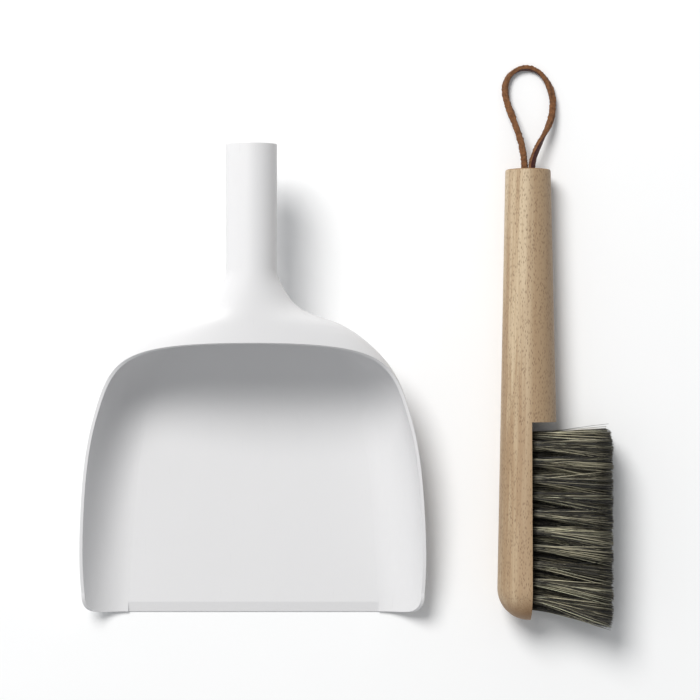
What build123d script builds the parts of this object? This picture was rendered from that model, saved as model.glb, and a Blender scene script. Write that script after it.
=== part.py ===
"""A dust pan and brush set, lying side by side on a table.

The pan is one thin moulding: a flat-floored scoop that narrows, under a hood, to a funnel that runs into a
hollow round handle, open at its end, so that the dust can be poured out through it. The brush is a tapered
round stock of wood with a domed end. A step cut into its side leaves a flat face, and the bristle tufts are
set in blind holes in that face, each folded over a flat wire anchor. A leather lace loops out of a hole in
the end of the stock, for hanging.

Units are millimetres. X runs across the set, from the pan to the brush. Y runs along both handles, towards
their ends. Z is up, and the table is at Z = 0. The origin is in the middle of the set, on the table.
"""

import os
from math import acos, asin, atan2, cos, degrees, hypot, pi, radians, sin, sqrt, tan

from build123d import *

# --- The pan ---------------------------------------------------------------------------------------------
PAN_WIDTH = 229.0  # across the rim at its widest
PAN_LENGTH = 308.0  # from the lip to the end of the handle
PAN_WALL = 2.0
FOOT = 0.2  # the flat foot under the floor stands this much below the curve of the walls
FOOT_MARGIN = 3.0  # from the foot's edge to where the walls start to curve up
LIP_EDGE = 0.7  # thickness left at the front of the lip
LIP_BEVEL = 6.5  # how far back the lip's bevel runs
WALL_REACH = 34.0  # how far in from the side the curve of a side wall starts
SPRING_HEIGHT = 36.0  # where the side walls stand upright
HOOD_HEIGHT = 68.0  # top of the hood
HOOD_REACH = 47.0  # from the neck forward to the edge of the hood
RAMP_REACH = 92.0  # from the neck forward to where the floor starts to rise
RIM_FRONT = 20.5  # rim height just behind the front corners
RIM_BACK = 38.0  # rim height where it starts to climb to the hood
RIM_CLIMB = 48.0  # from the edge of the hood forward to there
CORNER_REACH = 14.0  # how far back a front corner of the rim is rounded
CORNER_FOOT = 5.0  # height at which the rounded corner meets the front

HANDLE_LENGTH = 81.5  # the straight part of the handle, behind the neck
HANDLE_AXIS = 56.0  # height of its axis
BORE_R = 15.05
HANDLE_WALL = 1.5
BORE_STEP = 0.25  # the funnel meets the bore this much smaller
HANDLE_EDGE = 0.5  # rounding at the handle's end

# --- The brush -------------------------------------------------------------------------------------------
STOCK_LENGTH = 298.0
STOCK_END_R = 15.0  # at the handle's end
DOME_R = 20.7  # the round end
END_EDGE = 1.2  # rounding at the handle's end
FACE_OFFSET = 0.8  # from the axis to the bristle face
STEP = 110.0  # from the middle of the dome to the shoulder of the step

TUFT_ROWS = 4
TUFTS_IN_ROW = 11  # every other row is staggered, and has one less
ROW_MARGIN = 8.6  # from an outer row to the edge of the bristle face
FIELD_FRONT = 11.0  # from the first tuft back to the middle of the dome
FIELD_BACK = 9.2  # from the last tuft to the shoulder of the step
HOLE_R = 2.5
HOLE_DEPTH = 10.0
TUFT_CLEARANCE = 0.05  # radial, in the hole
TUFT_LENGTH = 53.8  # beyond the bristle face
TUFT_TIP_R = 4.2
SPLAY_ALONG = 1.07  # spread of the tips over the spread of the holes, along a row
SPLAY_ACROSS = 1.15  # and from row to row
SWEEP = 5.4  # how far the tips are swept forward of the holes
ANCHOR_WIDTH = 0.5
ANCHOR_HEIGHT = 1.6
ANCHOR_BITE = 0.4  # how far each end of an anchor cuts into the wood
ANCHOR_LIFT = 1.2  # from the bottom of the hole, room for the folded bristles

# --- The hanging loop ------------------------------------------------------------------------------------
LACE_R = 1.8
LACE_APART = 3.8  # between the two ends, side by side in the hole
LACE_CLEARANCE = 0.05
LACE_IN = 10.0  # how far the ends go into the hole, to its bottom
LACE_OUT = 4.0  # how far they come straight out of it
ARC_SHARE = 0.45  # how much of the shorter run each of its arcs takes

# The free part of the lace, from one end to the other: across, beyond the handle's end, above the table.
LACE_ROUTE = [
    (-4.2, 18.5, 12.9),
    (-8.8, 33.0, 8.6),
    (-14.6, 49.0, 4.5),
    (-13.6, 62.5, 2.3),
    (-3.5, 69.6, 1.9),
    (8.0, 67.6, 1.9),
    (15.6, 57.6, 2.2),
    (18.2, 44.6, 4.0),
    (15.6, 31.0, 7.2),
    (8.2, 18.5, 11.4),
]

# --- The set ---------------------------------------------------------------------------------------------
GAP = 47.2  # between the pan's rim and the back of the brush
BRUSH_AHEAD = 3.5  # how far the brush's dome lies in front of the pan's lip


def mix(low, high, share):
    return low + (high - low) * share


def ease(share):
    """A smooth rise from 0 to 1, level at both ends."""
    share = min(max(share, 0.0), 1.0)
    return share * share * (3 - 2 * share)


TUFT_TIP = FACE_OFFSET + TUFT_LENGTH  # from the stock's axis to the tips
SET_WIDTH = PAN_WIDTH + GAP + DOME_R + TUFT_TIP
PAN_X = (PAN_WIDTH - SET_WIDTH) / 2
BRUSH_X = SET_WIDTH / 2 - TUFT_TIP
FIELD_MIDDLE = (STEP - FIELD_BACK - FIELD_FRONT) / 2
FRONT_TIP = FIELD_MIDDLE - SWEEP - SPLAY_ALONG * (FIELD_MIDDLE + FIELD_FRONT)  # from the middle of the dome
TIPS_AHEAD = TUFT_TIP_R - FRONT_TIP - DOME_R  # how far the front tips lie in front of the dome
PAN_Y = (BRUSH_AHEAD + TIPS_AHEAD - PAN_LENGTH) / 2
DOME_Y = PAN_Y - BRUSH_AHEAD + DOME_R

# --- The pan's outline and heights -----------------------------------------------------------------------
NECK = PAN_LENGTH - HANDLE_LENGTH  # from the lip to the start of the straight handle
HANDLE_R = BORE_R + HANDLE_WALL
HOOD_EDGE = NECK - HOOD_REACH
RAMP_FOOT = NECK - RAMP_REACH
RIM_IN = WALL_REACH * (1 - sqrt(1 - (1 - RIM_FRONT / SPRING_HEIGHT) ** 2))
SPRING_HALF = PAN_WIDTH / 2 + RIM_IN  # half the width where the side walls stand upright
OVERRUN = 12.0  # the body is made this much too long at the lip, and cut there
STATIONS = 24
STATION_SPACING = 1.2  # over 1, the sections of the body stand closer together at the neck
SLOPE_STEP = 0.5  # over which the floor's slope is measured
HANDLE_FLAT = 0.15  # half the flat part of a handle section over its radius

with BuildLine() as pan_outline:
    Spline(
        (HANDLE_R, NECK),
        (1.04 * HANDLE_R, 0.982 * NECK),
        (0.178 * SPRING_HALF, 0.947 * NECK),
        (0.230 * SPRING_HALF, 0.909 * NECK),
        (0.310 * SPRING_HALF, 0.880 * NECK),
        (0.447 * SPRING_HALF, 0.855 * NECK),
        (0.580 * SPRING_HALF, 0.818 * NECK),
        (0.703 * SPRING_HALF, 0.763 * NECK),
        (0.796 * SPRING_HALF, 0.700 * NECK),
        (0.866 * SPRING_HALF, 0.610 * NECK),
        (0.928 * SPRING_HALF, 0.470 * NECK),
        (0.961 * SPRING_HALF, 0.320 * NECK),
        (0.983 * SPRING_HALF, 0.160 * NECK),
        (SPRING_HALF, -OVERRUN),
    )
PAN_OUTLINE = pan_outline.edge()


def ramp_share(y):
    """0 over the flat floor and 1 at the neck."""
    return ease((y - RAMP_FOOT) / RAMP_REACH)


def floor_height(y):
    return mix(0, HANDLE_AXIS - HANDLE_R, ramp_share(y))


def pan_plane(y):
    """The plane across the pan at this distance from the lip. Its x is X and its y is Z."""
    return Plane((PAN_X, PAN_Y + y, 0), x_dir=(1, 0, 0), z_dir=(0, -1, 0))


def pan_section(share, inset):
    """One section of the pan's body, at this share of its outline and drawn in by the inset."""
    edge = PAN_OUTLINE @ share
    along = PAN_OUTLINE % share
    half = edge.X + along.Y * inset
    y = edge.Y - along.X * inset
    rise = ramp_share(y)
    slope = (floor_height(y + SLOPE_STEP) - floor_height(y - SLOPE_STEP)) / (2 * SLOPE_STEP)
    floor = floor_height(y) + (inset * sqrt(1 + slope**2) if inset else FOOT * (1 - rise))
    spring = mix(SPRING_HEIGHT, HANDLE_AXIS, rise)
    top = mix(HOOD_HEIGHT, HANDLE_AXIS + HANDLE_R, rise) - inset
    reach = mix(WALL_REACH, (1 - HANDLE_FLAT) * HANDLE_R, rise) - inset
    flat = half - reach
    with BuildSketch(pan_plane(y)) as section:
        with BuildLine():
            Line((-flat, floor), (flat, floor))
            EllipticalCenterArc((flat, spring), reach, spring - floor, -90, arc_size=90)
            EllipticalCenterArc((0, spring), half, top - spring, 0, arc_size=180)
            EllipticalCenterArc((-flat, spring), reach, spring - floor, 180, arc_size=90)
        make_face()
    return section.sketch


def handle_section(y, radius):
    """A round section, in the same four lengths as a section of the body."""
    cut = degrees(asin(HANDLE_FLAT))
    with BuildSketch(pan_plane(y)) as section:
        with BuildLine():
            CenterArc((0, HANDLE_AXIS), radius, 270 - cut, 2 * cut)
            CenterArc((0, HANDLE_AXIS), radius, 270 + cut, 90 - cut)
            CenterArc((0, HANDLE_AXIS), radius, 0, 180)
            CenterArc((0, HANDLE_AXIS), radius, 180, 90 - cut)
        make_face()
    return section.sketch


def pan_body(inset, radius):
    """The outside of the scoop and funnel at no inset, or the space inside them."""
    shares = [(k / STATIONS) ** STATION_SPACING for k in range(1, STATIONS + 1)]
    with BuildPart() as body:
        loft(sections=[handle_section(NECK, radius)] + [pan_section(share, inset) for share in shares])
    return body.part


def foot_outline():
    """The flat foot that the pan stands on, from in front of the lip back to where the floor rises."""
    back = min((PAN_OUTLINE @ (k / 100) for k in range(101)), key=lambda point: abs(point.Y - RAMP_FOOT))
    front_half = SPRING_HALF - WALL_REACH - FOOT_MARGIN
    back_half = back.X - WALL_REACH - FOOT_MARGIN
    with BuildSketch(Plane((PAN_X, PAN_Y, 0))) as outline:
        with BuildLine():
            Polyline(
                (-front_half, -OVERRUN),
                (front_half, -OVERRUN),
                (back_half, RAMP_FOOT),
                (-back_half, RAMP_FOOT),
                close=True,
            )
        make_face()
    return outline.sketch


def rim_cut():
    """All that is above the rim and in front of the hood, as a profile seen from the side."""
    top = mix(HOOD_HEIGHT, HANDLE_AXIS + HANDLE_R, ramp_share(HOOD_EDGE))
    climb = top - RIM_BACK
    back = HOOD_EDGE - RIM_CLIMB
    above = HANDLE_AXIS + 2 * HANDLE_R
    with BuildSketch(Plane((PAN_X, PAN_Y, 0), x_dir=(0, 1, 0), z_dir=(1, 0, 0))) as profile:
        with BuildLine():
            EllipticalCenterArc(
                (CORNER_REACH, CORNER_FOOT), CORNER_REACH, RIM_FRONT - CORNER_FOOT, 180, arc_size=-90
            )
            Spline(
                (CORNER_REACH, RIM_FRONT),
                (mix(CORNER_REACH, back, 0.42), mix(RIM_FRONT, RIM_BACK, 0.54)),
                (back, RIM_BACK),
                (HOOD_EDGE - 0.60 * RIM_CLIMB, RIM_BACK + 0.10 * climb),
                (HOOD_EDGE - 0.33 * RIM_CLIMB, RIM_BACK + 0.28 * climb),
                (HOOD_EDGE - 0.115 * RIM_CLIMB, RIM_BACK + 0.62 * climb),
                (HOOD_EDGE, top),
            )
            Polyline(
                (HOOD_EDGE, top),
                (HOOD_EDGE, above),
                (-2 * OVERRUN, above),
                (-2 * OVERRUN, CORNER_FOOT),
                (0, CORNER_FOOT),
            )
        make_face()
    return profile.sketch


def lip_cut():
    """The wedge that bevels the top of the lip."""
    with BuildSketch(Plane((PAN_X, PAN_Y, 0), x_dir=(0, 1, 0), z_dir=(1, 0, 0))) as profile:
        with BuildLine():
            Polyline((0, LIP_EDGE), (LIP_BEVEL, PAN_WALL), (0, 2 * PAN_WALL), close=True)
        make_face()
    return profile.sketch


def make_pan():
    """The pan, one moulding."""
    outside = pan_body(0, HANDLE_R)
    inside = pan_body(PAN_WALL, BORE_R - BORE_STEP)
    with BuildPart() as pan:
        add(outside)
        extrude(foot_outline(), amount=PAN_WALL / 2)
        with BuildSketch(pan_plane(NECK)):
            with Locations((0, HANDLE_AXIS)):
                Circle(HANDLE_R)
        extrude(amount=-HANDLE_LENGTH)
        add(inside, mode=Mode.SUBTRACT)
        with BuildSketch(pan_plane(PAN_LENGTH)):
            with Locations((0, HANDLE_AXIS)):
                Circle(BORE_R)
        extrude(amount=HANDLE_LENGTH, mode=Mode.SUBTRACT)
        extrude(rim_cut(), amount=PAN_WIDTH, both=True, mode=Mode.SUBTRACT)
        with BuildSketch(pan_plane(0)):
            Rectangle(2 * PAN_WIDTH, 4 * HANDLE_AXIS)
        extrude(amount=2 * OVERRUN, mode=Mode.SUBTRACT)
        extrude(lip_cut(), amount=SPRING_HALF - WALL_REACH, both=True, mode=Mode.SUBTRACT)
        fillet(pan.edges().filter_by(GeomType.CIRCLE).group_by(Axis.Y)[-1], HANDLE_EDGE)
    pan.part.label = "pan"
    export_step(pan.part, "parts/pan.step")


# --- The brush's own frame: along the stock's axis from the middle of the dome, and out to the bristles ------
AXIS_LENGTH = STOCK_LENGTH - DOME_R
# The stock is a cone that touches its dome, lying on its side, so its axis leans down to the handle's end.
LEAN = atan2(AXIS_LENGTH, STOCK_END_R) - acos(DOME_R / hypot(AXIS_LENGTH, STOCK_END_R))
DOME_MIDDLE = Vector(BRUSH_X, DOME_Y, DOME_R)
ALONG = Vector(0, cos(LEAN), -sin(LEAN))
STOCK_AXIS = Axis(DOME_MIDDLE, ALONG)
STOCK_SIDE = Plane(DOME_MIDDLE, x_dir=ALONG, z_dir=(1, 0, 0))  # its z points out to the bristles
FACE = STOCK_SIDE.offset(FACE_OFFSET)
HANDLE_END = DOME_MIDDLE + ALONG * AXIS_LENGTH
END_PLANE = Plane(HANDLE_END, x_dir=(1, 0, 0), z_dir=ALONG)

FACE_HALF = sqrt(DOME_R**2 - FACE_OFFSET**2)  # half the height of the bristle face
ROW_PITCH = 2 * (FACE_HALF - ROW_MARGIN) / (TUFT_ROWS - 1)
TUFT_PITCH = (STEP - FIELD_BACK + FIELD_FRONT) / (TUFTS_IN_ROW - 1)


def tuft_places():
    """The row, the number in the row and the middle of each hole on the bristle face."""
    places = []
    for row in range(TUFT_ROWS):
        count = TUFTS_IN_ROW - row % 2
        for number in range(count):
            along = FIELD_MIDDLE + (number - (count - 1) / 2) * TUFT_PITCH
            across = (row - (TUFT_ROWS - 1) / 2) * ROW_PITCH
            places.append((row + 1, number + 1, along, across))
    return places


def anchor_at(along, across):
    """The flat wire across the bottom of one hole, with its ends in the wood."""
    middle = ANCHOR_LIFT + ANCHOR_HEIGHT / 2 - HOLE_DEPTH
    with BuildPart(FACE.offset(middle)) as anchor:
        with Locations((along, across)):
            Box(ANCHOR_WIDTH, 2 * (HOLE_R + ANCHOR_BITE), ANCHOR_HEIGHT)
    return anchor.part


def make_stock(anchors):
    """The wooden stock, with the step, the holes for the tufts and the hole for the lace."""
    lean = degrees(LEAN)
    with BuildPart() as brush_stock:
        with BuildSketch(STOCK_SIDE):
            with BuildLine():
                CenterArc((0, 0), DOME_R, 180, -90 - lean)
                Line((DOME_R * sin(LEAN), DOME_R * cos(LEAN)), (AXIS_LENGTH, STOCK_END_R))
                Polyline((AXIS_LENGTH, STOCK_END_R), (AXIS_LENGTH, 0), (-DOME_R, 0))
            make_face()
        revolve(axis=STOCK_AXIS)
        fillet(brush_stock.edges().filter_by(GeomType.CIRCLE).sort_by(Axis.Y)[-1], END_EDGE)
        with BuildSketch(FACE):
            with Locations((STEP - AXIS_LENGTH / 2, 0)):
                Rectangle(AXIS_LENGTH, 3 * DOME_R)
        extrude(amount=2 * DOME_R, mode=Mode.SUBTRACT)
        with BuildSketch(FACE):
            for _, _, along, across in tuft_places():
                with Locations((along, across)):
                    Circle(HOLE_R)
        extrude(amount=-HOLE_DEPTH, mode=Mode.SUBTRACT)
        add(anchors, mode=Mode.SUBTRACT)
        with BuildSketch(END_PLANE):
            Circle(LACE_APART / 2 + LACE_R + LACE_CLEARANCE)
        extrude(amount=-LACE_IN, mode=Mode.SUBTRACT)
    brush_stock.part.label = "brush_stock"
    export_step(brush_stock.part, "parts/brush_stock.step")
    return brush_stock.part


def make_anchors(anchors):
    """All the tuft anchors, as one group of separate wires."""
    with BuildPart() as tuft_anchors:
        add(anchors)
    tuft_anchors.part.label = "tuft_anchors"
    export_step(tuft_anchors.part, "parts/tuft_anchors.step")


def make_tuft(row, number, along, across, anchor):
    """One tuft: straight in its hole, spreading beyond it, and split at its foot by its anchor."""
    tip = (FIELD_MIDDLE - SWEEP + (along - FIELD_MIDDLE) * SPLAY_ALONG, across * SPLAY_ACROSS)
    foot_r = HOLE_R - TUFT_CLEARANCE
    with BuildPart() as tuft:
        with BuildSketch(FACE.offset(-HOLE_DEPTH)):
            with Locations((along, across)):
                Circle(foot_r)
        with BuildSketch(FACE):
            with Locations((along, across)):
                Circle(foot_r)
        with BuildSketch(FACE.offset(TUFT_LENGTH)):
            with Locations(tip):
                Circle(TUFT_TIP_R)
        loft(ruled=True)
        add(anchor, mode=Mode.SUBTRACT)
    tuft.part.label = f"tuft_row_{row}_{number:02d}"
    export_step(tuft.part, f"parts/{tuft.part.label}.step")


def make_hanging_loop():
    """The lace: out of the hole beside itself, round, and back into it."""
    ends = []
    for side in (-1, 1):
        foot = HANDLE_END + Vector(side * LACE_APART / 2, 0, 0)
        ends.append([foot - ALONG * LACE_IN, foot + ALONG * LACE_OUT])
    free = [Vector(BRUSH_X + across, HANDLE_END.Y + beyond, up) for across, beyond, up in LACE_ROUTE]
    route = ends[0] + free + ends[1][::-1]
    radii = []
    for before, here, after in zip(route, route[1:], route[2:]):
        turn = radians((here - before).get_angle(after - here))
        radii.append(ARC_SHARE * min((here - before).length, (after - here).length) / tan(turn / 2))
    with BuildPart() as hanging_loop:
        with BuildLine():
            path = FilletPolyline(*route, radius=radii)
        with BuildSketch(Plane(route[0], z_dir=route[1] - route[0])):
            Circle(LACE_R)
        sweep()
    hanging_loop.part.label = "hanging_loop"
    export_step(hanging_loop.part, "parts/hanging_loop.step")
    length = hanging_loop.part.volume / (pi * LACE_R**2)
    print(f"lace: {length:.1f} mm by volume, {path.length:.1f} mm along its path")
    print("radii:", " ".join(f"{radius:.1f}" for radius in radii))
    print("runs:", " ".join(f"{(b - a).length:.1f}" for a, b in zip(route, route[1:])))


def main():
    os.makedirs("parts", exist_ok=True)
    make_pan()
    places = tuft_places()
    anchors = [anchor_at(along, across) for _, _, along, across in places]
    make_stock(anchors)
    make_anchors(anchors)
    for (row, number, along, across), anchor in zip(places, anchors):
        make_tuft(row, number, along, across, anchor)
    make_hanging_loop()


if __name__ == "__main__":
    main()
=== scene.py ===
"""A dust pan and brush set: finishes, hair for the brush, its leather lace, and a plain stage.

Sizes are in metres. +X runs from the pan to the brush, +Y along both handles and +Z up from the table.
"""

import math

import bpy
import numpy as np
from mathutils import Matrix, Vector


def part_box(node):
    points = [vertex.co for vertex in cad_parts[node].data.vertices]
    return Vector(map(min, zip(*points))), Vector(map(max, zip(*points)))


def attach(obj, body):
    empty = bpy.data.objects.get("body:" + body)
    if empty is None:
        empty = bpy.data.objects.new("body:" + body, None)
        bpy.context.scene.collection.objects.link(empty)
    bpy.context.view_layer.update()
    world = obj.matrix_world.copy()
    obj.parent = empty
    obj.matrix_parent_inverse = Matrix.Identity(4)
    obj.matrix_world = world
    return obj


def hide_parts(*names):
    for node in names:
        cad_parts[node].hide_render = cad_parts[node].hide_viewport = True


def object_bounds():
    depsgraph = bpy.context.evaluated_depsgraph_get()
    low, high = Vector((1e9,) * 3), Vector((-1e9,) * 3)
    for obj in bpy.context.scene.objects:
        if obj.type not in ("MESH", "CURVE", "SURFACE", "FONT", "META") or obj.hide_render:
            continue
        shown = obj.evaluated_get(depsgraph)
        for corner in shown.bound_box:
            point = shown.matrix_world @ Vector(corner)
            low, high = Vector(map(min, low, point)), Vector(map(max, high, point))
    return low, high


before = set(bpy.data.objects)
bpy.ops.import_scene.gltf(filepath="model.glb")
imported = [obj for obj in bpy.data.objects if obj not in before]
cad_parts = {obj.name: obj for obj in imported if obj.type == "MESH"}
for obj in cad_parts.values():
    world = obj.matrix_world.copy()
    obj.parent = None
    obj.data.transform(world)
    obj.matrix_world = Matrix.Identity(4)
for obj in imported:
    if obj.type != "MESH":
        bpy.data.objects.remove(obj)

bl_info = {
    "name": "Dust Pan and Brush",
    "version": (1, 0, 0),
    "blender": (4, 5, 0),
    "location": "View3D > Sidebar > Dust Pan",
    "description": "Finishes a dust pan and brush set and sets it on a plain stage",
    "category": "Object",
}

CAD_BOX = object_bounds()
VIEW_MIDDLE = (0.00325, 0.02455)
CAMERA_LEFT = 0.02325  # how far the camera stands to the pan's side of the view's middle
TABLE_SIZE = 6.0
TABLE_BELOW = 0.0002  # the table's top is this far below the set
KEY_TOWARDS = (-0.42, 0.70, 1.0)  # the direction of the window light from the set

# The lace's route, from one end in its hole to the other, as the CAD model has it: across from the stock's
# axis, beyond the handle's end, and above the table.
LACE_ROUTE = [
    (-0.0019, -0.0100, 0.0152),
    (-0.0019, 0.0040, 0.0149),
    (-0.0042, 0.0185, 0.0129),
    (-0.0088, 0.0330, 0.0086),
    (-0.0146, 0.0490, 0.0045),
    (-0.0136, 0.0625, 0.0023),
    (-0.0035, 0.0696, 0.0019),
    (0.0080, 0.0676, 0.0019),
    (0.0156, 0.0576, 0.0022),
    (0.0182, 0.0446, 0.0040),
    (0.0156, 0.0310, 0.0072),
    (0.0082, 0.0185, 0.0114),
    (0.0019, 0.0040, 0.0149),
    (0.0019, -0.0100, 0.0152),
]


# --- Settings --------------------------------------------------------------------------------------------


def colour(name, description, value):
    return bpy.props.FloatVectorProperty(
        name=name, description=description, subtype="COLOR", size=3, min=0, max=1, default=value
    )


def length(name, description, value):
    return bpy.props.FloatProperty(
        name=name, description=description, subtype="DISTANCE", unit="LENGTH", min=0, default=value
    )


def number(name, description, value, low=0.0, high=10.0):
    return bpy.props.FloatProperty(name=name, description=description, min=low, max=high, default=value)


class PanSettings(bpy.types.PropertyGroup):
    body: colour("Body", "Colour of the moulded plastic", (0.742, 0.740, 0.748))
    scuff: colour("Scuffs", "Colour of the faint scuffs", (0.675, 0.673, 0.68))
    roughness: number("Roughness", "Roughness of the satin surface", 0.42, 0.0, 1.0)
    grain: length("Grain", "Size of the moulded surface's fine grain", 0.0009)


class StockSettings(bpy.types.PropertyGroup):
    light: colour("Light wood", "Colour of the pale bands", (0.575, 0.455, 0.305))
    # The dark wood colour also serves for the painted shade on the stock's side away from the window.
    dark: colour("Dark wood", "Colour of the darker bands", (0.375, 0.255, 0.150))
    fleck: colour("Flecks", "Colour of the short flecks", (0.12, 0.062, 0.030))
    end: colour("End grain", "Colour where the grain is cut across", (0.25, 0.135, 0.055))
    band: length("Bands", "Width of the bands of colour", 0.006)


class HairSettings(bpy.types.PropertyGroup):
    dark: colour("Dark hair", "Colour of the darkest hairs", (0.012, 0.011, 0.008))
    middle: colour("Middle hair", "Colour of the olive brown hairs", (0.070, 0.060, 0.034))
    light: colour("Light hair", "Colour of the palest hairs", (0.78, 0.72, 0.50))
    thickness: length("Thickness", "Thickness of a hair", 0.00040)
    per_tuft: bpy.props.IntProperty(
        name="Hairs in a tuft", description="How many hairs show in each tuft", min=1, default=290
    )
    locks: bpy.props.IntProperty(
        name="Locks in a tuft", description="How many locks a tuft's hairs gather into", min=1, default=30
    )
    spread: length("Spread", "Radius that a tuft spreads to at its tips", 0.0064)
    uneven: length("Uneven tips", "How far the tips differ in length", 0.0015)
    seed: bpy.props.IntProperty(name="Seed", description="Seed for the hairs", default=7)


class LaceSettings(bpy.types.PropertyGroup):
    width: length("Width", "Width of the strap", 0.0041)
    thickness: length("Thickness", "Thickness of the strap", 0.0029)
    suede: colour("Suede", "Colour of the rough side", (0.085, 0.034, 0.013))
    pale: colour("Rubbed suede", "Colour where the rough side is rubbed", (0.270, 0.118, 0.045))
    edge: colour("Smooth side", "Colour of the smooth dark side", (0.050, 0.006, 0.004))
    fuzz: length("Fuzz", "Height of the suede's roughness", 0.00060)


class StageSettings(bpy.types.PropertyGroup):
    floor: colour("Table", "Colour of the table", (0.95, 0.955, 0.96))
    ambient: number("Ambient light", "Strength of the light from all round", 0.41)
    key: number("Key light", "Strength of the window light, in watts", 143.0, 0.0, 1000.0)
    key_distance: length("Key distance", "Distance of the window light from the set", 4.0)
    key_size: length("Key size", "Width of the window light", 1.95)
    one_sided: number(
        "One-sidedness", "How much more of the soft light comes from the window's side", 0.31, 0.0, 1.0
    )
    camera_height: length("Camera height", "Height of the camera above the table", 1.608)
    view_width: length("View width", "Width of the table that the camera sees", 0.469)


# --- Helpers ---------------------------------------------------------------------------------------------


def settings(name):
    return getattr(bpy.context.scene, name)


def deselect():
    bpy.ops.object.select_all(action="DESELECT")


def paint(material, *pieces):
    for piece in pieces:
        piece.data.materials.clear()
        piece.data.materials.append(material)


class Nodes:
    """A node tree that is written from left to right."""

    def __init__(self, tree):
        self.tree = tree
        self.count = 0

    def add(self, kind, inputs=(), **values):
        node = self.tree.nodes.new(kind)
        node.location = (220 * self.count, 0)
        self.count += 1
        for name, value in values.items():
            setattr(node, name, value)
        for name, value in dict(inputs).items():
            self.set(node, name, value)
        return node

    def set(self, node, name, value):
        if isinstance(value, bpy.types.NodeSocket):
            self.tree.links.new(value, node.inputs[name])
        elif node.inputs[name].type == "RGBA":
            node.inputs[name].default_value = (*value[:3], 1.0)
        else:
            node.inputs[name].default_value = value

    def mix(self, share, first, second, blend="MIX"):
        node = self.add("ShaderNodeMix", data_type="RGBA", blend_type=blend)
        for place, value in ((0, share), (6, first), (7, second)):
            self.set(node, place, value)
        return node.outputs[2]

    def math(self, operation, *values):
        node = self.add("ShaderNodeMath", operation=operation)
        for place, value in enumerate(values):
            self.set(node, place, value)
        return node.outputs[0]

    def steps(self, value, low, high):
        """0 at low and 1 at high, smoothly."""
        node = self.add("ShaderNodeMapRange", interpolation_type="SMOOTHSTEP")
        for name, amount in (("Value", value), ("From Min", low), ("From Max", high)):
            self.set(node, name, amount)
        return node.outputs["Result"]

    def noise(self, vector, scale, detail=3.0, roughness=0.5):
        inputs = {"Vector": vector, "Scale": scale, "Detail": detail, "Roughness": roughness}
        return self.add("ShaderNodeTexNoise", inputs).outputs["Fac"]

    def stretched(self, vector, scale):
        return self.add("ShaderNodeMapping", {"Vector": vector, "Scale": scale}).outputs["Vector"]

    def bump(self, height, distance, strength=1.0, normal=None):
        node = self.add("ShaderNodeBump", {"Height": height, "Distance": distance, "Strength": strength})
        if normal is not None:
            self.set(node, "Normal", normal)
        return node.outputs["Normal"]


def new_material(name):
    material = bpy.data.materials.new(name)
    material.use_nodes = True
    material.node_tree.nodes.clear()
    return material, Nodes(material.node_tree)


def shade(nodes, **inputs):
    """The material's own shader and its output."""
    shader = nodes.add("ShaderNodeBsdfPrincipled", {key.replace("_", " "): v for key, v in inputs.items()})
    nodes.add("ShaderNodeOutputMaterial", {"Surface": shader.outputs["BSDF"]})
    return shader


def new_group(name, inputs, outputs):
    group = bpy.data.node_groups.new(name, "ShaderNodeTree")
    for socket, kind, value in inputs:
        item = group.interface.new_socket(socket, in_out="INPUT", socket_type=kind)
        if value is not None:
            item.default_value = value
    for socket, kind in outputs:
        group.interface.new_socket(socket, in_out="OUTPUT", socket_type=kind)
    nodes = Nodes(group)
    return group, nodes, nodes.add("NodeGroupInput").outputs


def use_group(nodes, group, inputs):
    node = nodes.add("ShaderNodeGroup", node_tree=group)
    for name, value in inputs.items():
        nodes.set(node, name, value)
    return node.outputs


def patches_group():
    """Soft uneven patches, of one size inside another, as a mask from 0 to 1."""
    name = "Patches"
    if name in bpy.data.node_groups:
        return bpy.data.node_groups[name]
    sockets = [("Vector", "NodeSocketVector", None), ("Size", "NodeSocketFloat", 0.02)]
    group, nodes, given = new_group(name, sockets, [("Mask", "NodeSocketFloat")])
    scale = nodes.math("DIVIDE", 1.0, given["Size"])
    broad = nodes.noise(given["Vector"], scale, 2.0, 0.5)
    fine = nodes.noise(given["Vector"], nodes.math("MULTIPLY", scale, 4.3), 3.0, 0.6)
    both = nodes.math("ADD", nodes.math("MULTIPLY", broad, 0.7), nodes.math("MULTIPLY", fine, 0.3))
    nodes.add("NodeGroupOutput", {"Mask": nodes.steps(both, 0.38, 0.62)})
    return group


# --- Finishes --------------------------------------------------------------------------------------------


def plastic_material():
    """Satin moulded plastic: a fine grain, slightly uneven gloss and faint scuffs."""
    look = settings("dust_pan")
    material, nodes = new_material("pan_plastic")
    place = nodes.add("ShaderNodeTexCoord").outputs["Object"]
    patches = use_group(nodes, patches_group(), {"Vector": place, "Size": 0.05})["Mask"]
    grain = nodes.noise(place, 1 / look.grain, 2.0, 0.5)
    scratches = nodes.noise(nodes.stretched(place, (900.0, 60.0, 300.0)), 1.0, 2.0, 0.6)
    marks = nodes.math("MULTIPLY", nodes.steps(scratches, 0.66, 0.78), 0.35)
    base = nodes.mix(marks, look.body, look.scuff)
    gloss = nodes.math("MULTIPLY_ADD", patches, 0.06, look.roughness - 0.03)
    height = nodes.bump(grain, 0.00002, 0.6)
    shade(
        nodes,
        Base_Color=base,
        Roughness=nodes.math("ADD", gloss, nodes.math("MULTIPLY", marks, 0.2)),
        IOR=1.49,
        Subsurface_Weight=0.08,
        Subsurface_Radius=(0.004, 0.004, 0.004),
        Subsurface_Scale=0.5,
        Normal=height,
    )
    return material


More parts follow.
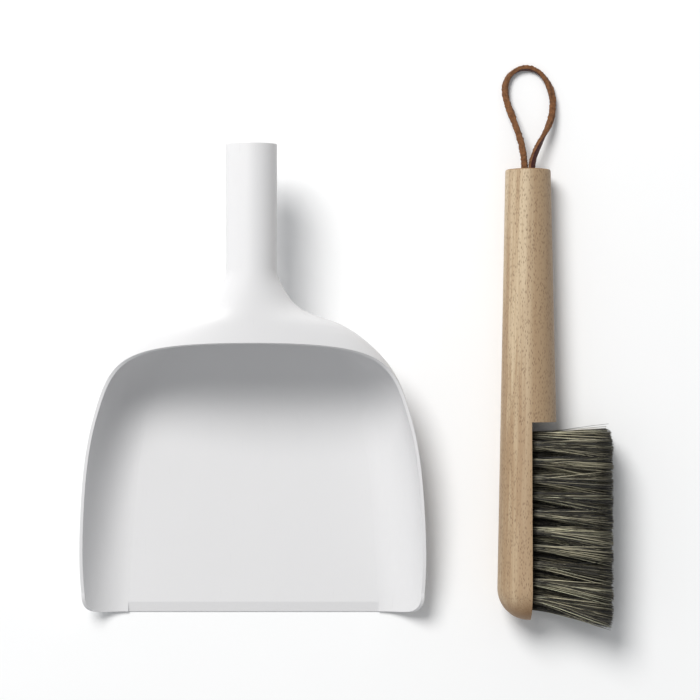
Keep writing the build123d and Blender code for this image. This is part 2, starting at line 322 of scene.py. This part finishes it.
def beech_material(piece):
    """Oiled beech along Y: soft bands, short dark flecks, brown end grain on the ends, and painted shade on
    the side away from the window.
    """
    look = settings("brush_stock")
    low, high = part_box(piece)
    material, nodes = new_material("beech")
    place = nodes.add("ShaderNodeTexCoord").outputs["Object"]
    middle = (low + high) / 2
    centred = nodes.add(
        "ShaderNodeMapping", {"Vector": place, "Location": tuple(-middle), "Rotation": (0.012, 0.0, 0.02)}
    ).outputs["Vector"]
    bands = nodes.noise(nodes.stretched(centred, (1 / look.band, 5.0, 0.6 / look.band)), 1.0, 3.0, 0.55)
    lines = nodes.noise(nodes.stretched(centred, (1500.0, 22.0, 900.0)), 1.0, 2.0, 0.6)
    wander = nodes.noise(nodes.stretched(centred, (70.0, 16.0, 70.0)), 1.0, 2.0, 0.5)
    cells = nodes.add(
        "ShaderNodeTexVoronoi",
        {"Vector": nodes.stretched(centred, (1450.0, 360.0, 1450.0)), "Scale": 1.0, "Randomness": 1.0},
        feature="F1",
    )
    chance = nodes.add("ShaderNodeSeparateColor", {"Color": cells.outputs["Color"]}).outputs["Red"]
    small = nodes.steps(cells.outputs["Distance"], 0.46, 0.16)
    flecks = nodes.math("MULTIPLY", small, nodes.steps(chance, 0.05, 0.60))
    flecks = nodes.math("MULTIPLY", flecks, nodes.steps(wander, 0.10, 0.50))
    tone = nodes.math("MULTIPLY_ADD", lines, 0.35, nodes.math("MULTIPLY", bands, 0.75))
    wood = nodes.mix(nodes.steps(tone, 0.42, 0.68), look.light, look.dark)
    parts = nodes.add("ShaderNodeSeparateXYZ", {"Vector": centred}).outputs
    side = parts["X"]
    wood = nodes.mix(nodes.math("MULTIPLY", nodes.steps(parts["Y"], 0.05, -0.12), 0.40), wood, look.dark)
    # Painted shade, partly a darker band of the grain: the +X side, away from the window light, goes towards
    # the dark wood colour, and its edge wanders with the bands.
    shaded_side_band = nodes.steps(nodes.math("MULTIPLY_ADD", bands, 0.012, side), -0.003, 0.010)
    wood = nodes.mix(nodes.math("MULTIPLY", shaded_side_band, 0.85), wood, look.dark)
    wood = nodes.mix(nodes.math("MULTIPLY", flecks, 0.70), wood, look.fleck)
    normal = nodes.add("ShaderNodeNewGeometry").outputs["Normal"]
    facing = nodes.add("ShaderNodeSeparateXYZ", {"Vector": normal}).outputs
    across = nodes.math("ABSOLUTE", facing["Y"])
    pores = nodes.noise(place, 2600.0, 2.0, 0.6)
    cut = nodes.steps(nodes.math("MULTIPLY_ADD", pores, 0.45, across), 0.40, 1.05)
    wood = nodes.mix(nodes.math("MULTIPLY", cut, 0.85), wood, look.end)
    relief = nodes.math("SUBTRACT", nodes.math("MULTIPLY", lines, 0.5), flecks)
    shade(
        nodes,
        Base_Color=wood,
        Roughness=nodes.math("MULTIPLY_ADD", flecks, 0.15, 0.50),
        Specular_IOR_Level=0.35,
        Normal=nodes.bump(relief, 0.00006, 0.7),
    )
    return material


def hair_material():
    """Natural hair, coloured hair by hair, with painted shade towards the roots."""
    material, nodes = new_material("bristle_hair")
    # Each hair's own colour, with painted shade at its root, from the mesh.
    tint_and_shade = nodes.add("ShaderNodeAttribute", attribute_name="hair_tint_and_shade").outputs["Color"]
    place = nodes.add("ShaderNodeTexCoord").outputs["Object"]
    flecked = nodes.noise(nodes.stretched(place, (160.0, 1200.0, 1200.0)), 1.0, 2.0, 0.5)
    base = nodes.mix(nodes.math("MULTIPLY", flecked, 0.35), tint_and_shade, (0.02, 0.018, 0.012))
    shade(nodes, Base_Color=base, Roughness=0.46, Specular_IOR_Level=0.55, Sheen_Weight=0.1)
    return material


def lace_material():
    """Suede on three sides, and the hide's smooth dark side on the fourth."""
    look = settings("hanging_lace")
    material, nodes = new_material("lace_leather")
    place = nodes.add("ShaderNodeTexCoord").outputs["Object"]
    smooth = nodes.add("ShaderNodeAttribute", attribute_name="smooth_side").outputs["Fac"]
    patches = use_group(nodes, patches_group(), {"Vector": place, "Size": 0.0022})["Mask"]
    nap = nodes.noise(place, 3200.0, 3.0, 0.65)
    rubbed = nodes.math("MULTIPLY", patches, 0.35)
    worn = nodes.math("MULTIPLY_ADD", nodes.steps(nap, 0.42, 0.60), 0.65, rubbed)
    rough = nodes.mix(worn, look.suede, look.pale)
    ragged = nodes.steps(nodes.math("MULTIPLY_ADD", nap, 0.3, smooth), 0.55, 0.80)
    base = nodes.mix(ragged, rough, look.edge)
    height = nodes.math("MULTIPLY", nap, nodes.math("SUBTRACT", 1.0, nodes.math("MULTIPLY", ragged, 0.8)))
    shade(
        nodes,
        Base_Color=base,
        Roughness=nodes.math("MULTIPLY_ADD", ragged, -0.35, 0.88),
        Specular_IOR_Level=0.3,
        Sheen_Weight=0.08,
        Sheen_Roughness=0.6,
        Normal=nodes.bump(height, 0.00018, 0.9),
    )
    return material


def wire_material():
    """Bright flat wire with drawing lines."""
    material, nodes = new_material("anchor_wire")
    place = nodes.add("ShaderNodeTexCoord").outputs["Object"]
    lines = nodes.noise(nodes.stretched(place, (9000.0, 9000.0, 600.0)), 1.0, 2.0, 0.5)
    base = nodes.mix(lines, (0.60, 0.59, 0.56), (0.42, 0.41, 0.38))
    shade(nodes, Base_Color=base, Metallic=1.0, Roughness=nodes.math("MULTIPLY_ADD", lines, 0.2, 0.25))
    return material


def table_material():
    """A plain white table."""
    material, nodes = new_material("table")
    place = nodes.add("ShaderNodeTexCoord").outputs["Object"]
    look = settings("plain_stage")
    base = nodes.mix(nodes.noise(place, 30.0, 2.0), look.floor, tuple(0.99 * part for part in look.floor))
    shade(nodes, Base_Color=base, Roughness=0.9, Specular_IOR_Level=0.1)
    return material


# --- The hairs -------------------------------------------------------------------------------------------

HOLE_DEPTH = 0.010  # from the bristle face down to a tuft's foot
END_SLICE = 0.0002  # points this near to either end of a tuft belong to that end
ROOT_DEPTH = 0.003  # how far below the bristle face a hair starts
HOLE_FILL = 0.92  # share of the hole's radius that the roots fill
HAIR_CLEAR = 0.0008  # a hair's middle is at least this high above the table
HAIR_JITTER = 0.0007  # how far single hairs wander sideways
LOCK_SCATTER = 0.42  # how far locks gather away from their own place, as a share of the spread
STRAY_SHARE = 0.05
STRAY_REACH = 0.0035
TIP_CURVE = 12.0  # how much the tips round off towards a tuft's edge
HAIR_SECTIONS = 5
DARK_BELOW = 0.47  # hairs that draw less than this are dark
LIGHT_ABOVE = 0.66  # and hairs that draw more than this are pale
# How bright a hair is drawn from its root, at 0, to its tip, at 1; the dimming at the root is painted shade
# where the hairs crowd at the stock.
HAIR_PAINTED_SHADE = [(0.0, 0.14), (0.10, 0.30), (0.35, 1.15), (0.80, 0.85), (1.0, 0.38)]


def strand_template(sections):
    """One hair as a three-sided spike along Z from 0 to 1, with evenly spaced sections."""
    deselect()
    bpy.ops.mesh.primitive_cone_add(vertices=3, radius1=0.5, radius2=0.36, depth=1.0, location=(0, 0, 0.5))
    strand = bpy.context.object
    bpy.ops.object.transform_apply(location=True, rotation=True, scale=True)
    bpy.ops.object.mode_set(mode="EDIT")
    for step in range(1, sections):
        bpy.ops.mesh.select_all(action="SELECT")
        bpy.ops.mesh.bisect(plane_co=(0, 0, step / sections), plane_no=(0, 0, 1))
    bpy.ops.object.mode_set(mode="OBJECT")
    points = np.array([tuple(vertex.co) for vertex in strand.data.vertices])
    faces = [tuple(face.vertices) for face in strand.data.polygons]
    mesh = strand.data
    bpy.data.objects.remove(strand)
    bpy.data.meshes.remove(mesh)
    return points, faces


def tuft_ends(name):
    """The middle of a tuft's foot, the middle of its tips and its foot's radius, from its CAD node."""
    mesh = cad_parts[name].data
    points = np.array([tuple(vertex.co) for vertex in mesh.vertices])
    low, high = points[:, 0].min(), points[:, 0].max()
    foot = points[points[:, 0] < low + END_SLICE]
    tip = points[points[:, 0] > high - END_SLICE]
    radius = (foot[:, 1].max() - foot[:, 1].min()) / 2
    return (foot.min(0) + foot.max(0)) / 2, (tip.min(0) + tip.max(0)) / 2, radius


def tuft_curves(name, face_x, look, dice):
    """Where the hairs of one tuft run, as four control points for each, and their colours."""
    foot, tip, radius = tuft_ends(name)
    count = look.per_tuft
    angle = dice.uniform(0, 2 * math.pi, count)
    out = np.sqrt(dice.uniform(0, 1, count))
    disc = np.stack([np.zeros(count), np.cos(angle) * out, np.sin(angle) * out], axis=1)
    start = np.array([face_x - ROOT_DEPTH, foot[1], foot[2]]) + disc * radius * HOLE_FILL
    lock = dice.integers(0, look.locks, count)
    gather = dice.normal(0, LOCK_SCATTER, (look.locks, 3)) * (0, 1, 1)
    lean = (disc * 0.50 + gather[lock]) * look.spread + dice.normal(0, HAIR_JITTER, (count, 3)) * (0, 1, 1)
    stray = (dice.uniform(0, 1, count) < STRAY_SHARE)[:, None]
    lean = lean + stray * dice.normal(0, STRAY_REACH, (count, 3)) * (0, 1, 1)
    end = tip + lean
    rounding = (lean[:, 1] ** 2 + lean[:, 2] ** 2) * TIP_CURVE
    end[:, 0] = tip[0] - np.abs(dice.normal(0, look.uneven, count)) - rounding
    end[:, 2] = np.maximum(end[:, 2], HAIR_CLEAR)
    reach = end[:, 0:1] - start[:, 0:1]
    straight = np.array([1.0, 0.0, 0.0])
    bow = dice.normal(0, HAIR_JITTER, (count, 3)) * (0, 1, 1)
    first = start + straight * reach * 0.30 + (end - start) * (0, 0.16, 0.16) + bow
    second = end - straight * reach * 0.33 - (end - start) * (0, 0.30, 0.30) - bow * 1.5
    second[:, 2] = np.maximum(second[:, 2], HAIR_CLEAR)
    return start, first, second, end, hair_tints(lock, look, dice)


def hair_tints(lock, look, dice):
    """A colour for each hair: mostly dark and olive, some pale, and more alike within one lock."""
    count = len(lock)
    pick = 0.42 * dice.uniform(0, 1, look.locks)[lock] + 0.58 * dice.uniform(0, 1, count)
    shift = dice.uniform(0.45, 1.45, (count, 1))
    tints = np.where((pick < DARK_BELOW)[:, None], np.array(look.dark[:]), np.array(look.middle[:]))
    tints = np.where((pick > LIGHT_ABOVE)[:, None], np.array(look.light[:]), tints)
    return np.clip(tints * shift, 0, 1)


def hair_mesh(name, curves, tints, thickness, dice):
    """All the hairs of a row in one mesh."""
    points, faces = strand_template(HAIR_SECTIONS)
    start, first, second, end = curves
    count = len(start)
    share = points[:, 2][None, :, None]
    line = (
        start[:, None] * (1 - share) ** 3
        + 3 * first[:, None] * share * (1 - share) ** 2
        + 3 * second[:, None] * share**2 * (1 - share)
        + end[:, None] * share**3
    )
    turn = dice.uniform(0, 2 * math.pi, count)[:, None]
    thick = thickness * dice.uniform(0.6, 1.25, count)[:, None]
    side = points[:, 0] * np.cos(turn) - points[:, 1] * np.sin(turn)
    rise = points[:, 0] * np.sin(turn) + points[:, 1] * np.cos(turn)
    line[:, :, 1] += side * thick
    line[:, :, 2] += rise * thick
    each = len(points)
    mesh = bpy.data.meshes.new(name)
    mesh.vertices.add(count * each)
    mesh.vertices.foreach_set("co", line.reshape(-1).astype(np.float32))
    corners = [corner for face in faces for corner in face]
    sizes = np.array([len(face) for face in faces])
    loops = (np.array(corners)[None, :] + each * np.arange(count)[:, None]).reshape(-1)
    mesh.loops.add(len(loops))
    mesh.loops.foreach_set("vertex_index", loops.astype(np.int32))
    starts = np.concatenate([[0], np.cumsum(sizes)[:-1]])
    starts = (starts[None, :] + len(corners) * np.arange(count)[:, None]).reshape(-1)
    mesh.polygons.add(count * len(faces))
    mesh.polygons.foreach_set("loop_start", starts.astype(np.int32))
    mesh.update(calc_edges=True)
    layer = mesh.color_attributes.new("hair_tint_and_shade", "FLOAT_COLOR", "POINT")
    # Painted shade: each hair is dimmed towards its root, where the hairs crowd at the stock.
    painted_shade = np.interp(points[:, 2], [at for at, _ in HAIR_PAINTED_SHADE], [bright for _, bright in HAIR_PAINTED_SHADE])
    shown = (tints[:, None, :] * painted_shade[None, :, None]).reshape(-1, 3)
    shown = np.concatenate([shown, np.ones((count * each, 1))], axis=1)
    layer.data.foreach_set("color", shown.reshape(-1).astype(np.float32))
    return mesh


# --- The lace --------------------------------------------------------------------------------------------

LACE_SEED = 11
LACE_STEP = 0.0005  # between the strap's sections
STRAP_CORNER = 0.0007  # rounding of the strap's edges
CORNER_STEPS = 3
OUTLINE_STEP = 0.0006  # between the points of the strap's outline
STRAP_CLEAR = 0.0001  # the lowest point above the table
FIBRES = 3200
FIBRE_HALF = 0.00009  # half a fibre's thickness at its root
FIBRE_ENDS = 12  # sections at each end of the strap that have no fibres


def smooth_line(name, points, gap):
    """Evenly spaced points along one smooth curve that is led by the given points."""
    curve = bpy.data.curves.new(name, "CURVE")
    curve.dimensions = "3D"
    curve.resolution_u = 24
    spline = curve.splines.new("NURBS")
    spline.points.add(len(points) - 1)
    for point, place in zip(spline.points, points):
        point.co = (*place, 1.0)
    spline.order_u = 3
    spline.use_endpoint_u = True
    holder = bpy.data.objects.new(name, curve)
    bpy.context.collection.objects.link(holder)
    mesh = bpy.data.meshes.new_from_object(holder)
    line = np.array([tuple(vertex.co) for vertex in mesh.vertices])
    bpy.data.objects.remove(holder)
    bpy.data.curves.remove(curve)
    bpy.data.meshes.remove(mesh)
    run = np.concatenate([[0], np.cumsum(np.linalg.norm(np.diff(line, axis=0), axis=1))])
    wanted = np.linspace(0, run[-1], int(run[-1] / gap) + 1)
    return np.stack([np.interp(wanted, run, line[:, axis]) for axis in range(3)], axis=1), run[-1]


def strap_outline(width, thickness, corner, steps):
    """A rounded rectangle, and how much each of its points is on the side that faces +thickness."""
    points = []
    for quarter in range(4):
        across = width / 2 - corner
        through = thickness / 2 - corner
        middle = ((across, through), (-across, through), (-across, -through), (across, -through))[quarter]
        for step in range(steps + 1):
            turn = math.radians(90 * (quarter + step / steps))
            points.append((middle[0] + corner * math.cos(turn), middle[1] + corner * math.sin(turn)))
    full = []
    for first, second in zip(points, points[1:] + points[:1]):
        pieces = max(1, round(math.dist(first, second) / OUTLINE_STEP))
        full += [tuple(np.array(first) + (np.array(second) - first) * k / pieces) for k in range(pieces)]
    full = np.array(full)
    return full, np.clip((full[:, 1] / (thickness / 2) - 0.55) / 0.45, 0, 1)


# How the strap is turned along its length, in degrees: at 0 its smooth side faces into the loop, at -90 down.
LACE_TURNS = [
    (0.00, -62),
    (0.10, -75),
    (0.30, -80),
    (0.40, -30),
    (0.46, 12),
    (0.54, 14),
    (0.60, -40),
    (0.68, -95),
    (0.76, -140),
    (0.82, -205),
    (0.88, -234),
    (1.00, -232),
]


def strap_mesh(name, line, look, dice):
    """The strap along a line, turned as it goes, with a rough nap on its suede sides."""
    count = len(line)
    share = np.linspace(0, 1, count)
    ahead = np.gradient(line, axis=0)
    ahead /= np.linalg.norm(ahead, axis=1)[:, None]
    up = np.array([0.0, 0.0, 1.0]) - ahead * ahead[:, 2:3]
    up /= np.linalg.norm(up, axis=1)[:, None]
    inward = np.cross(ahead, up)
    turns = np.interp(share, [at for at, _ in LACE_TURNS], [turn for _, turn in LACE_TURNS])
    turns = np.radians(np.convolve(np.pad(turns, 20, mode="edge"), np.ones(41) / 41, mode="valid"))[:, None]
    smooth = inward * np.cos(turns) + up * np.sin(turns)
    wide = np.cross(smooth, ahead)
    outline, on_smooth = strap_outline(look.width, look.thickness, STRAP_CORNER, CORNER_STEPS)
    around = len(outline)
    out = outline / np.linalg.norm(outline, axis=1)[:, None]
    rough = dice.normal(0, 1, (count, around))
    rough = (rough + np.roll(rough, 1, 0) + np.roll(rough, 1, 1)) / 1.9
    wander = np.interp(share * 60, np.arange(62), dice.normal(0, 1, 62))[:, None]
    lift = (rough * look.fuzz * 0.38 + wander * look.fuzz * 0.16) * (1 - on_smooth)[None, :]
    flat = outline[None, :, :] + out[None, :, :] * lift[:, :, None]
    points = line[:, None] + wide[:, None] * flat[:, :, 0:1] + smooth[:, None] * flat[:, :, 1:2]
    points[:, :, 2] = np.maximum(points[:, :, 2], STRAP_CLEAR)
    rings = np.arange(count - 1)[:, None] * around
    here = np.arange(around)[None, :]
    after = (here + 1) % around
    faces = np.stack([rings + here, rings + after, rings + around + after, rings + around + here], axis=2)
    faces = faces.reshape(-1, 4).tolist()
    faces.append(list(range(around))[::-1])
    faces.append([(count - 1) * around + k for k in range(around)])
    mesh = bpy.data.meshes.new(name)
    mesh.from_pydata(points.reshape(-1, 3).tolist(), [], faces)
    layer = mesh.attributes.new("smooth_side", "FLOAT", "POINT")
    layer.data.foreach_set("value", np.tile(on_smooth, count).astype(np.float32))
    mesh.shade_smooth()
    mesh.update()
    return mesh


def fuzz_mesh(name, line, look, dice):
    """Fine loose fibres that stand out of the suede."""
    count = FIBRES
    at = dice.integers(FIBRE_ENDS, len(line) - FIBRE_ENDS, count)
    ahead = np.gradient(line, axis=0)[at]
    ahead /= np.linalg.norm(ahead, axis=1)[:, None]
    turn = dice.uniform(0, 2 * math.pi, count)[:, None]
    up = np.array([0.0, 0.0, 1.0]) - ahead * ahead[:, 2:3]
    side = np.cross(ahead, up)
    out = side * np.cos(turn) + up * np.sin(turn)
    start = line[at] + out * look.thickness * 0.48
    tip = start + out * dice.uniform(0.0005, 0.0011, (count, 1)) + ahead * dice.normal(0, 0.0006, (count, 1))
    tip[:, 2] = np.maximum(tip[:, 2], STRAP_CLEAR)
    width = ahead * FIBRE_HALF
    thick = np.cross(out, ahead) * FIBRE_HALF
    points = np.stack([start - width, start + width, start + thick, tip], axis=1).reshape(-1, 3)
    base = 4 * np.arange(count)[:, None]
    faces = np.concatenate([base + np.array(face) for face in ((0, 3, 1), (1, 3, 2), (2, 3, 0), (0, 1, 2))])
    mesh = bpy.data.meshes.new(name)
    mesh.from_pydata(points.tolist(), [], faces.tolist())
    mesh.update()
    return mesh


# --- Operators -------------------------------------------------------------------------------------------


class DUSTPAN_OT_pan(bpy.types.Operator):
    """Finish the pan in satin plastic"""

    bl_idname = "dustpan.pan"
    bl_label = "Finish the Pan"

    def execute(self, context):
        paint(plastic_material(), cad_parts["pan"])
        return {"FINISHED"}


class DUSTPAN_OT_stock(bpy.types.Operator):
    """Finish the brush's stock in beech, and its anchors in wire"""

    bl_idname = "dustpan.stock"
    bl_label = "Finish the Stock"

    def execute(self, context):
        paint(beech_material("brush_stock"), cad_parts["brush_stock"])
        paint(wire_material(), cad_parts["tuft_anchors"])
        return {"FINISHED"}


class DUSTPAN_OT_bristles(bpy.types.Operator):
    """Fill the brush with hair, row by row"""

    bl_idname = "dustpan.bristles"
    bl_label = "Make the Bristles"

    def execute(self, context):
        look = settings("brush_hair")
        dice = np.random.default_rng(look.seed)
        material = hair_material()
        names = sorted(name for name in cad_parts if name.startswith("tuft_row_"))
        rows = sorted({name.rsplit("_", 1)[0] for name in names})
        face_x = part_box(names[0])[0].x + HOLE_DEPTH
        for row in rows:
            members = [name for name in names if name.startswith(row + "_")]
            tufts = [tuft_curves(name, face_x, look, dice) for name in members]
            *curves, tints = [np.concatenate(part) for part in zip(*tufts)]
            mesh = hair_mesh("hair_" + row[5:], curves, tints, look.thickness, dice)
            hairs = bpy.data.objects.new("hair_" + row[5:], mesh)
            context.collection.objects.link(hairs)
            paint(material, hairs)
            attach(hairs, "brush")
            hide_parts(*members)
        return {"FINISHED"}


class DUSTPAN_OT_lace(bpy.types.Operator):
    """Make the hanging loop from one leather strap"""

    bl_idname = "dustpan.lace"
    bl_label = "Make the Lace"

    def execute(self, context):
        look = settings("hanging_lace")
        dice = np.random.default_rng(LACE_SEED)
        low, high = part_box("brush_stock")
        corner = Vector((low.x + (high.z - low.z) / 2, high.y, 0))
        route = [corner + Vector(point) for point in LACE_ROUTE]
        line, long = smooth_line("lace_line", route, LACE_STEP)
        material = lace_material()
        strap = bpy.data.objects.new("hanging_strap", strap_mesh("hanging_strap", line, look, dice))
        fibres = bpy.data.objects.new("strap_fibres", fuzz_mesh("strap_fibres", line, look, dice))
        for piece in (strap, fibres):
            context.collection.objects.link(piece)
            paint(material, piece)
            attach(piece, "brush")
        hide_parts("hanging_loop")
        return {"FINISHED"}


class DUSTPAN_OT_stage(bpy.types.Operator):
    """Set the table, the lights and the camera"""

    bl_idname = "dustpan.stage"
    bl_label = "Set the Stage"

    def execute(self, context):
        look = settings("plain_stage")
        deselect()
        height = min(CAD_BOX[0].z, 0.0) - TABLE_BELOW
        bpy.ops.mesh.primitive_plane_add(size=TABLE_SIZE, location=(0, 0, height))
        table = context.object
        table.name = "table"
        bpy.ops.object.transform_apply(location=True, rotation=True, scale=True)
        paint(table_material(), table)

        world = bpy.data.worlds.new("studio")
        world.use_nodes = True
        sky = Nodes(world.node_tree)
        from_right = sky.add(
            "ShaderNodeSeparateXYZ", {"Vector": sky.add("ShaderNodeTexCoord").outputs["Generated"]}
        ).outputs["X"]
        falling = sky.math("MULTIPLY_ADD", from_right, -look.one_sided, 1.0)
        background = world.node_tree.nodes["Background"]
        sky.tree.links.new(sky.math("MULTIPLY", falling, look.ambient), background.inputs["Strength"])
        background.inputs["Color"].default_value = (0.97, 0.985, 1.0, 1.0)
        context.scene.world = world

        towards = Vector(KEY_TOWARDS).normalized()
        key = bpy.data.lights.new("key", "AREA")
        key.shape = "DISK"
        key.size = look.key_size
        key.energy = look.key
        key.color = (1.0, 0.99, 0.975)
        lamp = bpy.data.objects.new("key", key)
        lamp.location = towards * look.key_distance
        lamp.rotation_mode = "QUATERNION"
        lamp.rotation_quaternion = towards.to_track_quat("Z", "Y")
        context.collection.objects.link(lamp)

        lens = bpy.data.cameras.new("camera")
        lens.sensor_width = 36.0
        lens.lens = 36.0 * look.camera_height / look.view_width
        lens.clip_start = 0.05
        lens.clip_end = 20.0
        camera = bpy.data.objects.new("camera", lens)
        camera.location = (VIEW_MIDDLE[0] - CAMERA_LEFT, VIEW_MIDDLE[1], look.camera_height)
        lens.shift_x = CAMERA_LEFT / look.view_width
        context.collection.objects.link(camera)
        context.scene.camera = camera
        context.scene.view_settings.view_transform = "Standard"
        return {"FINISHED"}


class DUSTPAN_PT_panel(bpy.types.Panel):
    """Lists the settings and the operators"""

    bl_label = "Dust Pan and Brush"
    bl_idname = "DUSTPAN_PT_panel"
    bl_space_type = "VIEW_3D"
    bl_region_type = "UI"
    bl_category = "Dust Pan"

    def draw(self, context):
        for name, kind in SETTINGS.items():
            box = self.layout.box()
            for field in kind.__annotations__:
                box.prop(getattr(context.scene, name), field)
        for operator in ("stage", "pan", "stock", "bristles", "lace"):
            self.layout.operator("dustpan." + operator)


CLASSES = [
    PanSettings,
    StockSettings,
    HairSettings,
    LaceSettings,
    StageSettings,
    DUSTPAN_OT_pan,
    DUSTPAN_OT_stock,
    DUSTPAN_OT_bristles,
    DUSTPAN_OT_lace,
    DUSTPAN_OT_stage,
    DUSTPAN_PT_panel,
]
SETTINGS = {
    "dust_pan": PanSettings,
    "brush_stock": StockSettings,
    "brush_hair": HairSettings,
    "hanging_lace": LaceSettings,
    "plain_stage": StageSettings,
}


def register():
    for kind in CLASSES:
        bpy.utils.register_class(kind)
    for name, kind in SETTINGS.items():
        setattr(bpy.types.Scene, name, bpy.props.PointerProperty(type=kind))


def unregister():
    for name in SETTINGS:
        delattr(bpy.types.Scene, name)
    for kind in reversed(CLASSES):
        bpy.utils.unregister_class(kind)


def main():
    register()
    bpy.ops.dustpan.stage()
    bpy.ops.dustpan.pan()
    bpy.ops.dustpan.stock()
    bpy.ops.dustpan.bristles()
    bpy.ops.dustpan.lace()


if __name__ == "__main__":
    main()
